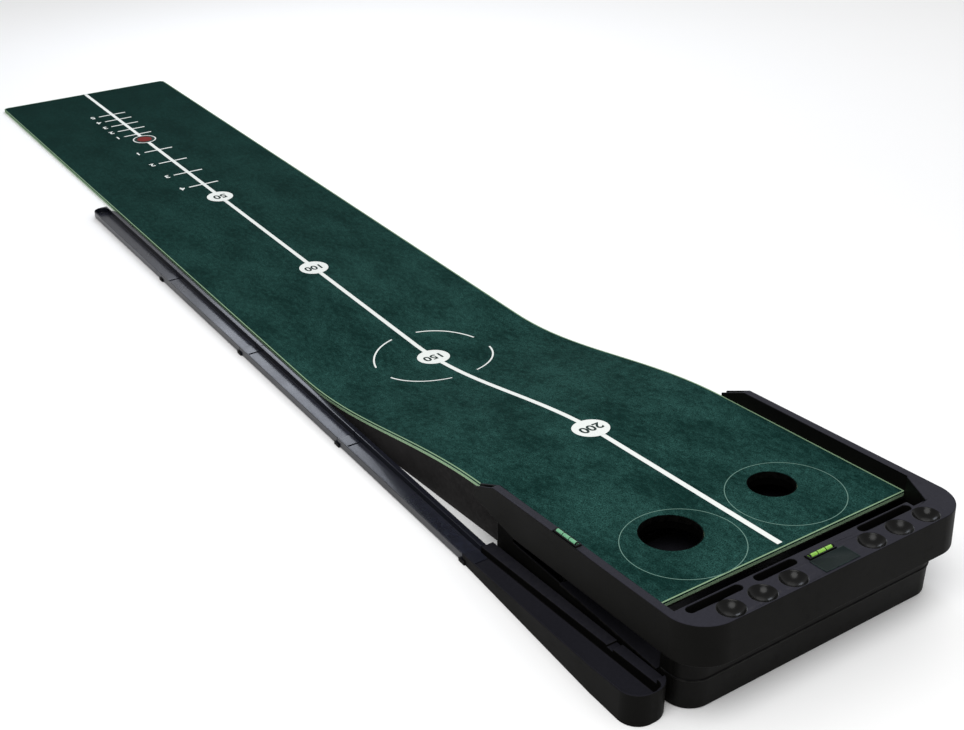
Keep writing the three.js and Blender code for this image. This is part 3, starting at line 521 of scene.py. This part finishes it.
def mesh_from(bm, name, smooth_under=35):
    """Turns a bmesh into a mesh, smooth but for edges sharper than the angle."""
    mesh = bpy.data.meshes.new(name)
    bmesh.ops.recalc_face_normals(bm, faces=bm.faces)
    bm.to_mesh(mesh)
    bm.free()
    mesh.shade_smooth()
    mesh.set_sharp_from_angle(angle=math.radians(smooth_under))
    return mesh


def rounded_copy(node, radius, cut=None, segments=2, sharp=32):
    """A node's shape with its sharp edges rounded, after an optional fine cut."""
    bm = bmesh.new()
    bm.from_mesh(frame["nodes"][node].data)
    bmesh.ops.remove_doubles(bm, verts=bm.verts, dist=2e-6)
    if cut:
        bm = cut(bm)
    if radius > 0:
        edges = [e for e in bm.edges if e.is_manifold and e.calc_face_angle() > math.radians(sharp)]
        bmesh.ops.bevel(
            bm, geom=edges, offset=radius, offset_type="OFFSET", segments=segments, profile=0.5,
            affect="EDGES", clamp_overlap=False, harden_normals=False)
    return mesh_from(bm, f"{node}_shape", 38)


def moulded(node, radius, material, cut=None, segments=2):
    """A rounded copy that stands for its node."""
    mesh = rounded_copy(node, radius, cut, segments)
    piece = add_piece(f"{node}_moulding", mesh, material, node, replaces=True)
    weighted = piece.modifiers.new("Even shading", "WEIGHTED_NORMAL")
    weighted.keep_sharp = True
    weighted.weight = 60
    return piece


def boolean(bm, cutter, operation="DIFFERENCE"):
    """Cuts one bmesh by another and gives the result."""
    scene = bpy.context.scene.collection
    objects = []
    for label, source in (("cut_body", bm), ("cut_tool", cutter)):
        mesh = bpy.data.meshes.new(label)
        source.to_mesh(mesh)
        source.free()
        thing = bpy.data.objects.new(label, mesh)
        scene.objects.link(thing)
        objects.append(thing)
    modifier = objects[0].modifiers.new("Cut", "BOOLEAN")
    modifier.operation = operation
    modifier.object = objects[1]
    modifier.solver = "EXACT"
    bpy.context.view_layer.update()
    evaluated = objects[0].evaluated_get(bpy.context.evaluated_depsgraph_get())
    result = bmesh.new()
    result.from_mesh(evaluated.data)
    for thing in objects:
        mesh = thing.data
        bpy.data.objects.remove(thing)
        bpy.data.meshes.remove(mesh)
    return result


def arc(x, y, radius, start, end, count):
    """Points round part of a circle, angles in degrees."""
    angles = [math.radians(start + (end - start) * i / count) for i in range(count + 1)]
    return [(x + radius * math.cos(a), y + radius * math.sin(a)) for a in angles]


def circle(x, y, radius, count=96):
    return arc(x, y, radius, 0, 360, count)[:-1]


def flat_shape(loops):
    """A flat bmesh inside the outer loops and outside the inner ones."""
    curve = bpy.data.curves.new("outline", "CURVE")
    curve.dimensions = "2D"
    curve.fill_mode = "BOTH"
    for loop in loops:
        spline = curve.splines.new("POLY")
        spline.points.add(len(loop) - 1)
        for point, (x, y) in zip(spline.points, loop):
            point.co = (x, y, 0, 1)
        spline.use_cyclic_u = True
    return curve_bmesh(curve)


def curve_bmesh(curve):
    """The flat bmesh of a filled curve or text."""
    holder = bpy.data.objects.new("outline", curve)
    bpy.context.scene.collection.objects.link(holder)
    bpy.context.view_layer.update()
    evaluated = holder.evaluated_get(bpy.context.evaluated_depsgraph_get())
    mesh = bpy.data.meshes.new_from_object(evaluated)
    bm = bmesh.new()
    bm.from_mesh(mesh)
    bpy.data.meshes.remove(mesh)
    bpy.data.objects.remove(holder)
    bpy.data.curves.remove(curve)
    bmesh.ops.remove_doubles(bm, verts=bm.verts, dist=1e-6)
    return bm


def lay_on_turf(bm, lift, step=0.012):
    """Bends a flat shape in (across, along) over the turf's surface."""
    lows = [v.co.y for v in bm.verts]
    bend_from, bend_to = RAMP_BEND
    at = max(min(lows), bend_from) + step / 2
    while at < min(max(lows), bend_to):
        geometry = [*bm.verts, *bm.edges, *bm.faces]
        bmesh.ops.bisect_plane(bm, geom=geometry, dist=1e-7, plane_co=(0, at, 0), plane_no=(0, 1, 0))
        at += step
    for vertex in bm.verts:
        vertex.co = on_turf(vertex.co.x, vertex.co.y, lift)
    return bm


def print_on_turf(name, bm, material, lift):
    """A flat shape in (across, along) as a mark that lies on the turf and faces up."""
    bm = lay_on_turf(bm, lift)
    bm.normal_update()
    bmesh.ops.reverse_faces(bm, faces=[f for f in bm.faces if f.normal.z < 0])
    mesh = bpy.data.meshes.new(name)
    bm.to_mesh(mesh)
    bm.free()
    return add_piece(name, mesh, material, "mat_turf")


def printed(name, loops, material, lift=0.00015):
    """A printed mark inside its outline."""
    return print_on_turf(name, flat_shape(loops), material, lift)


def printed_number(name, text, x, s, size, material, lift):
    """A number on the turf that is read from the tee."""
    curve = bpy.data.curves.new(name, "FONT")
    curve.body = text
    curve.size = size
    curve.align_x = "CENTER"
    curve.align_y = "CENTER"
    curve.resolution_u = 6
    curve.offset = size * 0.028
    bm = curve_bmesh(curve)
    for vertex in bm.verts:
        vertex.co = Vector((x - vertex.co.x, s + vertex.co.y, 0))
    return print_on_turf(name, bm, material, lift)


def turf_outline(inset):
    """The turf's edge in (across, along), rounded at the corners."""
    half = HALF_WIDTH - inset
    far = FAR_S + inset
    near = NEAR_S - inset
    r = TURF_CORNER - inset
    small = 0.002
    return [
        *arc(half - r, far + r, r, -90, 0, 8),
        *arc(half - small, near - small, small, 0, 90, 3),
        *arc(-half + small, near - small, small, 90, 180, 3),
        *arc(-half + r, far + r, r, 180, 270, 8),
    ]


def split_long(loop, step):
    """Adds points along a loop's long edges."""
    points = []
    for (x0, y0), (x1, y1) in zip(loop, loop[1:] + loop[:1]):
        count = max(1, round(math.hypot(x1 - x0, y1 - y0) / step))
        points.extend((x0 + (x1 - x0) * i / count, y0 + (y1 - y0) * i / count) for i in range(count))
    return points


def ring(radius, width, x, s, count=128):
    return [circle(x, s, radius + width / 2, count), circle(x, s, radius - width / 2, count)]


def bar(x0, x1, s0, s1):
    return [(x0, s0), (x1, s0), (x1, s1), (x0, s1)]


def turned(profile, place, name, count=40):
    """A closed ring turned from a profile of (radius, along)."""
    bm = bmesh.new()
    rows = []
    for i in range(count):
        angle = 2 * math.pi * i / count
        direction = Vector((math.cos(angle), math.sin(angle), 0))
        rows.append([bm.verts.new(place @ (direction * r + Vector((0, 0, z)))) for r, z in profile])
    for row, following in zip(rows, rows[1:] + rows[:1]):
        for j in range(len(profile)):
            k = (j + 1) % len(profile)
            bm.faces.new((row[j], following[j], following[k], row[k]))
    return mesh_from(bm, name, 30)


# ---- operators ----
class MatMakeTurf(bpy.types.Operator):
    """Makes the turf sheet and its bound edge, and gives the foam backing its material"""

    bl_idname = "putting_mat.turf"
    bl_label = "Turf"

    def execute(self, context):
        settings = context.scene.mat_turf
        loops = [turf_outline(0.0)]
        loops += [circle(x, NEAR_S - v, r + 0.0003) for x, v, r in HOLES]
        bm = lay_on_turf(flat_shape(loops), 0.0)
        bmesh.ops.recalc_face_normals(bm, faces=bm.faces)
        if sum(f.normal.z * f.calc_area() for f in bm.faces) < 0:
            bmesh.ops.reverse_faces(bm, faces=bm.faces)
        top = bm.faces[:]
        grown = bmesh.ops.extrude_face_region(bm, geom=top)
        under = [item for item in grown["geom"] if isinstance(item, bmesh.types.BMVert)]
        bmesh.ops.translate(bm, verts=under, vec=(0, 0, -TURF_THICKNESS))
        mesh = mesh_from(bm, "turf_sheet", 40)
        turf = add_piece("turf_sheet", mesh, turf_material(settings), "mat_turf", replaces=True)
        binding = self.add_binding(settings)
        foam = foam_material(settings)
        for node in ("backing_on_floor", "backing_on_ramp"):
            data = frame["nodes"][node].data
            data.materials.clear()
            data.materials.append(foam)
        return {"FINISHED"}

    def add_binding(self, settings):
        """The pale edge, pressed thin all round."""
        loops = [split_long(turf_outline(-0.0001), 0.01), split_long(turf_outline(0.0024), 0.01)]
        return printed("turf_edge_binding", loops, turf_ink(settings, "Edge Binding"), 0.0002)


class MatPrintMarks(bpy.types.Operator):
    """Prints the line, tee, distances, ticks, target circle and rings on the turf"""

    bl_idname = "putting_mat.marks"
    bl_label = "Printed Marks"

    def execute(self, context):
        settings = context.scene.mat_turf
        white = turf_ink(settings, "Print White")
        dark = turf_ink(settings, "Print Dark")
        half = settings.line_width / 2
        printed("centre_line", [bar(-half, half, FAR_S + 0.002, NEAR_S - 0.010)], white)
        for distance in DISTANCES:
            s = distance / 100
            printed(f"disc_{distance}", [circle(0, s, settings.disc_size / 2)], white, 0.0003)
            size = 0.034 if distance < 100 else 0.029
            printed_number(f"number_{distance}", str(distance), 0, s, size, dark, 0.00045)
        self.print_tee(settings, white)
        self.print_ticks(white)
        self.print_target(settings, white)
        pale = turf_ink(settings, "Print Ring")
        for i, (x, v) in enumerate(HOLE_RINGS, 1):
            printed(f"hole_ring_{i}", ring(0.090, 0.0012, x, NEAR_S - v), pale, 0.0002)
        return {"FINISHED"}

    def print_tee(self, settings, white):
        printed("tee_ring", ring(0.0295, 0.0032, 0, 0), white, 0.0003)
        printed("tee_gap", [circle(0, 0, 0.0275)], turf_ink(settings, "Print Dark"), 0.00025)
        printed("tee_dot", [circle(0, 0, 0.0195)], turf_ink(settings, "Tee Red"), 0.0004)

    def print_ticks(self, white):
        """Numbered ticks, 5 cm apart behind the tee and 10 cm apart in front of it."""
        half_length, half_width, number_x, number_size = 0.039, 0.0026, -0.057, 0.026
        for side, step, count in ((-1, 0.05, 5), (1, 0.10, 4)):
            for i in range(1, count + 1):
                s = side * step * i
                label = f"{'back' if side < 0 else 'front'}_{i}"
                tick = bar(-half_length, half_length, s - half_width, s + half_width)
                printed(f"tick_{label}", [tick], white, 0.0002)
                printed_number(f"tick_number_{label}", str(i), number_x, s, number_size, white, 0.0002)

    def print_target(self, settings, white):
        """Four arcs round the 150 cm mark, with gaps between them."""
        radius, half_width, at = settings.circle_size / 2, 0.0017, 1.5
        gap = 14
        for i in range(4):
            start, end = 90 * i + gap, 90 * (i + 1) - gap
            outer = arc(0, at, radius + half_width, start, end, 24)
            inner = arc(0, at, radius - half_width, end, start, 24)
            printed(f"target_arc_{i + 1}", [outer + inner], white, 0.0002)


class MatMakeTray(bpy.types.Operator):
    """Makes the raised tray, its deck, its hole liners and the blank plate"""

    bl_idname = "putting_mat.tray"
    bl_label = "Tray"

    def execute(self, context):
        settings = context.scene.mat_moulding
        plastic = plastic_finish("Tray Plastic", settings.tray, 0.44)
        tray = moulded("upper_tray", settings.edge_radius, plastic, cut=self.smooth_dimples, segments=3)
        self.polish_dimples(tray, settings)
        moulded("deck_plate", 0.0003, plastic)
        # Liners and sleeves at 0.3 of the base's colour: dark plastic, darkened further as painted shade
        # inside the holes.
        liner = plastic_finish("Liner Plastic", scaled(settings.base, 0.3), 0.6, dust=0.0, shine=0.02)
        for node in ("big_cup_liner", "small_cup_liner"):
            moulded(node, 0.0005, liner)
        for (x, v, radius), node in zip(HOLES, ("big_cup_liner", "small_cup_liner")):
            self.make_sleeve(x, v, radius, node, liner)
        self.make_plate()
        return {"FINISHED"}

    def smooth_dimples(self, bm):
        """Cuts the ball dimples again, finely."""
        tools = bmesh.new()
        for x in DIMPLE_X:
            for side in (-1, 1):
                centre = self.dimple_centre(side * x)
                bmesh.ops.create_uvsphere(
                    tools, u_segments=72, v_segments=36, radius=DIMPLE_BALL + 0.0001,
                    matrix=Matrix.Translation(centre) @ Matrix.Rotation(-TRAY_TILT, 4, "X"))
        return boolean(bm, tools)

    def polish_dimples(self, tray, settings):
        """The dimples come out of the mould polished; their colour, 0.6 of the tray's, is painted shade
        in the bowls.
        """
        polish = plastic_finish(
            "Dimple Polish", scaled(settings.tray, 0.6), 0.20, grain=2600.0, depth=0.00001, dust=0.0,
            shine=0.16)
        tray.data.materials.append(polish)
        centres = [self.dimple_centre(side * x) for x in DIMPLE_X for side in (-1, 1)]
        for face in tray.data.polygons:
            if any((face.center - centre).length < DIMPLE_BALL + 0.0004 for centre in centres):
                face.material_index = 1

    def dimple_centre(self, x):
        rise = math.sqrt(DIMPLE_BALL ** 2 - DIMPLE_RIM ** 2)
        return in_tray() @ Vector((x, DIMPLE_V, RAIL_HEIGHT + rise))

    def make_sleeve(self, x, v, radius, node, material):
        """A thin dark sleeve that lines a hole through the deck, the foam and the turf; its near-black
        finish is painted shade in the hole.
        """
        low, high = -0.0031, TURF_RISE - 0.0006
        outer, inner, chamfer = radius - 0.0002, radius - 0.0012, 0.0004
        profile = [
            (outer, low), (outer, high - chamfer), (outer - chamfer, high), (inner, high), (inner, low)]
        place = in_tray() @ Matrix.Translation((x, v, 0))
        add_piece(f"{node}_sleeve", turned(profile, place, "hole_sleeve", 96), material, node)

    def make_plate(self):
        """A blank plate with a shallow sunk panel."""
        material = plastic_finish(
            "Plate Plastic", (0.006, 0.011, 0.010), 0.40, grain=2200.0, depth=0.00002, dust=0.04,
            shine=0.04)
        bm = bmesh.new()
        bm.from_mesh(frame["nodes"]["blank_plate"].data)
        bmesh.ops.remove_doubles(bm, verts=bm.verts, dist=2e-6)
        bmesh.ops.dissolve_limit(bm, angle_limit=0.01, verts=bm.verts, edges=bm.edges)
        bm.faces.ensure_lookup_table()
        bm.normal_update()
        top = max(bm.faces, key=lambda f: f.normal.z)
        bmesh.ops.inset_individual(bm, faces=[top], thickness=0.0022, depth=0)
        bmesh.ops.inset_individual(bm, faces=[top], thickness=0.0003, depth=-0.0003)
        edges = [e for e in bm.edges if e.calc_face_angle() > 1.2]
        bmesh.ops.bevel(bm, geom=edges, offset=0.0002, segments=2, profile=0.5, affect="EDGES")
        add_piece("blank_plate_panel", mesh_from(bm, "blank_plate", 30), material, "blank_plate", True)


class MatMakeLevels(bpy.types.Operator):
    """Makes both spirit levels: housings, tubes with their marks, and bubbles"""

    bl_idname = "putting_mat.levels"
    bl_label = "Spirit Levels"

    def execute(self, context):
        settings = context.scene.mat_moulding
        plastic = bpy.data.materials["Tray Plastic"]
        marks = plastic_finish(
            "Level Marks", (0.004, 0.004, 0.004), 0.5, grain=1500.0, depth=0.00002, dust=0.0)
        shades = {"front_level": settings.liquid, "side_level": settings.liquid_side}
        along_rail = Vector((0, math.cos(TRAY_TILT), -math.sin(TRAY_TILT)))
        directions = {"front_level": Vector((1, 0, 0)), "side_level": along_rail}
        for level, shade in shades.items():
            moulded(f"{level}_housing", 0.0006, plastic, segments=3)
            dyed = liquid_tube_material(f"{level.split('_')[0].title()} Tube", shade)
            self.make_tube(level, directions[level], dyed, marks)
            bubble = moulded(f"{level}_bubble", 0, named_material("Level Bubble", bubble_material))
            bubble.data.shade_smooth()
        return {"FINISHED"}

    def make_tube(self, level, direction, dyed, marks):
        """A fine tube along a direction, with two dark rings and two end caps."""
        node = f"{level}_tube"
        low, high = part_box(node)
        centre = (low + high) / 2
        length = high.x - low.x if level == "front_level" else SIDE_LEVEL_LENGTH
        turn = direction.to_track_quat("Z", "Y").to_matrix().to_4x4()
        place = Matrix.Translation(centre) @ turn
        outer, inner = LEVEL_TUBE
        end = length / 2
        round_end = 0.0004
        profile = [(outer - round_end, -end), (outer, round_end - end), (outer, end - round_end),
                   (outer - round_end, end), (inner, end), (inner, -end)]
        add_piece(f"{node}_glass", turned(profile, place, node), dyed, node, True)
        cap, mark_at = 0.0015, 0.0075
        bands = (("mark", mark_at, 0.0006, 0.00015, 0.0002), ("cap", end - cap, cap, 0.0002, 0.0006))
        for kind, out, half, proud, sunk in bands:
            for i, at in enumerate((-out, out), 1):
                band = [(outer + proud, at - half), (outer + proud, at + half),
                        (outer - sunk, at + half), (outer - sunk, at - half)]
                label = f"{level}_{kind}"
                add_piece(f"{label}_{i}", turned(band, place, label), marks, node)


class MatMakeBase(bpy.types.Operator):
    """Makes the base, its pads and screws, and the ball chute"""

    bl_idname = "putting_mat.base"
    bl_label = "Base"

    def execute(self, context):
        settings = context.scene.mat_moulding
        plastic = plastic_finish(
            "Base Plastic", settings.base, 0.48, grain=1200.0, depth=0.00008, dust=0.12, shine=0.06)
        moulded("base_shell", 0.0009, plastic)
        self.make_bead(plastic)
        moulded("ball_chute", 0.0005, plastic)
        rubber = rubber_material()
        steel = steel_material()
        for i in range(1, 5):
            moulded(f"foot_pad_{i}", 0.0006, rubber, segments=3)
            moulded(f"tray_screw_{i}", 0.0004, steel)
        return {"FINISHED"}

    def make_bead(self, material):
        """A low moulded bead along the base's near and right sides."""
        low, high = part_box("base_shell")
        corner, height = BASE_CORNER, low.z + BEAD_HEIGHT
        path = [(low.x, low.y + corner + 0.010)]
        path += arc(low.x + corner, low.y + corner, corner, 180, 270, 16)
        path += arc(high.x - corner, low.y + corner, corner, 270, 360, 16)
        path.append((high.x, high.y - 0.012))
        sunk, proud, half = -0.0006, 0.0014, 0.0016
        section = [(sunk, -half), (proud * 0.6, -half), (proud, -half * 0.4), (proud, half * 0.4),
                   (proud * 0.6, half), (sunk, half)]
        bm = bmesh.new()
        rows = []
        for i, (x, y) in enumerate(path):
            before, after = path[max(i - 1, 0)], path[min(i + 1, len(path) - 1)]
            run = Vector((after[0] - before[0], after[1] - before[1])).normalized()
            rows.append(
                [bm.verts.new((x + run.y * out, y - run.x * out, height + up)) for out, up in section])
        for row, following in zip(rows, rows[1:]):
            for j in range(len(section)):
                k = (j + 1) % len(section)
                bm.faces.new((row[j], following[j], following[k], row[k]))
        bm.faces.new(rows[0])
        bm.faces.new(rows[-1])
        add_piece("base_bead", mesh_from(bm, "base_bead", 50), material, "base_shell")


class MatMakeRamp(bpy.types.Operator):
    """Makes the ramp wedge under the turf"""

    bl_idname = "putting_mat.ramp"
    bl_label = "Ramp"

    def execute(self, context):
        settings = context.scene.mat_moulding
        plastic = plastic_finish(
            "Ramp Plastic", settings.ramp, 0.5, grain=1100.0, depth=0.00008, dust=0.2)
        moulded("ramp_shell", 0.0008, plastic)
        return {"FINISHED"}


class MatMakeTrack(bpy.types.Operator):
    """Makes the collector, the four track sections and their couplers"""

    bl_idname = "putting_mat.track"
    bl_label = "Ball Return"

    def execute(self, context):
        settings = context.scene.mat_moulding
        plastic = plastic_finish(
            "Track Plastic", settings.track, 0.30, grain=1700.0, depth=0.00003, dust=0.12, coat=0.14,
            shine=0.24)
        collector = plastic_finish(
            "Collector Plastic", scaled(settings.tray, 0.9), 0.5, grain=900.0, depth=0.0002, dust=0.16)
        moulded("collector", 0.0009, collector, segments=3)
        coupler = plastic_finish(
            "Coupler Plastic", settings.base, 0.5, grain=1500.0, depth=0.00005, dust=0.1)
        for i in range(1, 5):
            moulded(f"track_section_{i}", 0.0007, plastic)
            moulded(f"track_coupler_{i}", 0.0004, coupler)
        return {"FINISHED"}


class MatMakeStage(bpy.types.Operator):
    """Makes the floor, the soft lights, the sky and the camera"""

    bl_idname = "putting_mat.stage"
    bl_label = "Stage"

    def execute(self, context):
        settings = context.scene.mat_stage
        self.make_floor(settings)
        power = settings.key_power
        self.make_light("key", (-0.9, -1.9, 2.3), 1.7, power)
        self.make_light("fill", (2.6, 0.6, 3.0), 3.0, power * 0.5)
        self.make_light("window", (0.8, 1.9, 1.6), 1.1, power * 0.45, (0.82, 0.88, 1.0))
        self.make_sky(settings)
        self.make_camera(context, settings)
        context.scene.view_settings.view_transform = "Standard"
        return {"FINISHED"}

    def make_floor(self, settings):
        """A plain pale floor, a hair below the pieces that stand on it."""
        mesh = bpy.data.meshes.new("floor")
        size, below = 40, -0.0003
        corners = ((-size, -size), (size, -size), (size, size), (-size, size))
        mesh.from_pydata([(x, y, below) for x, y in corners], [], [(0, 1, 2, 3)])
        material, tree, shader = bare_material("Studio Floor")
        shade = mix_colours(
            tree, noise(tree, object_place(tree), 3.0), scaled(settings.floor, 0.99), settings.floor)
        tree.links.new(shade, shader.inputs["Base Color"])
        shader.inputs["Roughness"].default_value = 0.9
        mesh.materials.append(material)
        floor = bpy.data.objects.new("floor", mesh)
        bpy.context.scene.collection.objects.link(floor)

    def make_light(self, name, place, size, power, colour=(1, 1, 1)):
        """A round soft light that faces the tray's end of the mat."""
        light = bpy.data.lights.new(name, "AREA")
        light.shape = "DISK"
        light.size = size
        light.energy = power
        light.color = colour
        lamp = bpy.data.objects.new(name, light)
        lamp.location = place
        aim = Vector((0, -0.9, 0)) - Vector(place)
        lamp.rotation_euler = aim.to_track_quat("-Z", "Y").to_euler()
        bpy.context.scene.collection.objects.link(lamp)

    def make_sky(self, settings):
        world = bpy.data.worlds.new("studio")
        world.use_nodes = True
        background = world.node_tree.nodes["Background"]
        background.inputs["Color"].default_value = (1, 1, 1, 1)
        background.inputs["Strength"].default_value = settings.sky
        bpy.context.scene.world = world

    def make_camera(self, context, settings):
        camera = bpy.data.cameras.new("camera")
        camera.lens = settings.lens
        camera.sensor_width = 36
        holder = bpy.data.objects.new("camera", camera)
        holder.location = (-1.1721, -2.4315, 1.2754)
        holder.rotation_euler = (math.radians(60.86), 0, math.radians(-33.73))
        context.scene.collection.objects.link(holder)
        context.scene.camera = holder


class MatPanel(bpy.types.Panel):
    """Lists the settings and the pieces that can be made"""

    bl_idname = "VIEW3D_PT_putting_mat"
    bl_label = "Putting Mat"
    bl_space_type = "VIEW_3D"
    bl_region_type = "UI"
    bl_category = "Putting Mat"

    def draw(self, context):
        layout = self.layout
        for name in SETTINGS:
            group = getattr(context.scene, name)
            box = layout.box()
            for key in group.__annotations__:
                box.prop(group, key)
        for operator in OPERATORS:
            layout.operator(operator.bl_idname)


SETTINGS = {
    "mat_turf": MatTurfSettings, "mat_moulding": MatMouldingSettings, "mat_stage": MatStageSettings}
OPERATORS = (
    MatMakeStage, MatMakeTurf, MatPrintMarks, MatMakeTray, MatMakeLevels, MatMakeBase, MatMakeRamp,
    MatMakeTrack)
CLASSES = (*SETTINGS.values(), *OPERATORS, MatPanel)


def register():
    for cls in CLASSES:
        bpy.utils.register_class(cls)
    for name, group in SETTINGS.items():
        setattr(bpy.types.Scene, name, bpy.props.PointerProperty(type=group))


def unregister():
    for name in SETTINGS:
        delattr(bpy.types.Scene, name)
    for cls in reversed(CLASSES):
        bpy.utils.unregister_class(cls)


def main():
    register()
    bpy.ops.putting_mat.stage()
    bpy.ops.putting_mat.turf()
    bpy.ops.putting_mat.marks()
    bpy.ops.putting_mat.tray()
    bpy.ops.putting_mat.levels()
    bpy.ops.putting_mat.base()
    bpy.ops.putting_mat.ramp()
    bpy.ops.putting_mat.track()


if __name__ == "__main__":
    main()
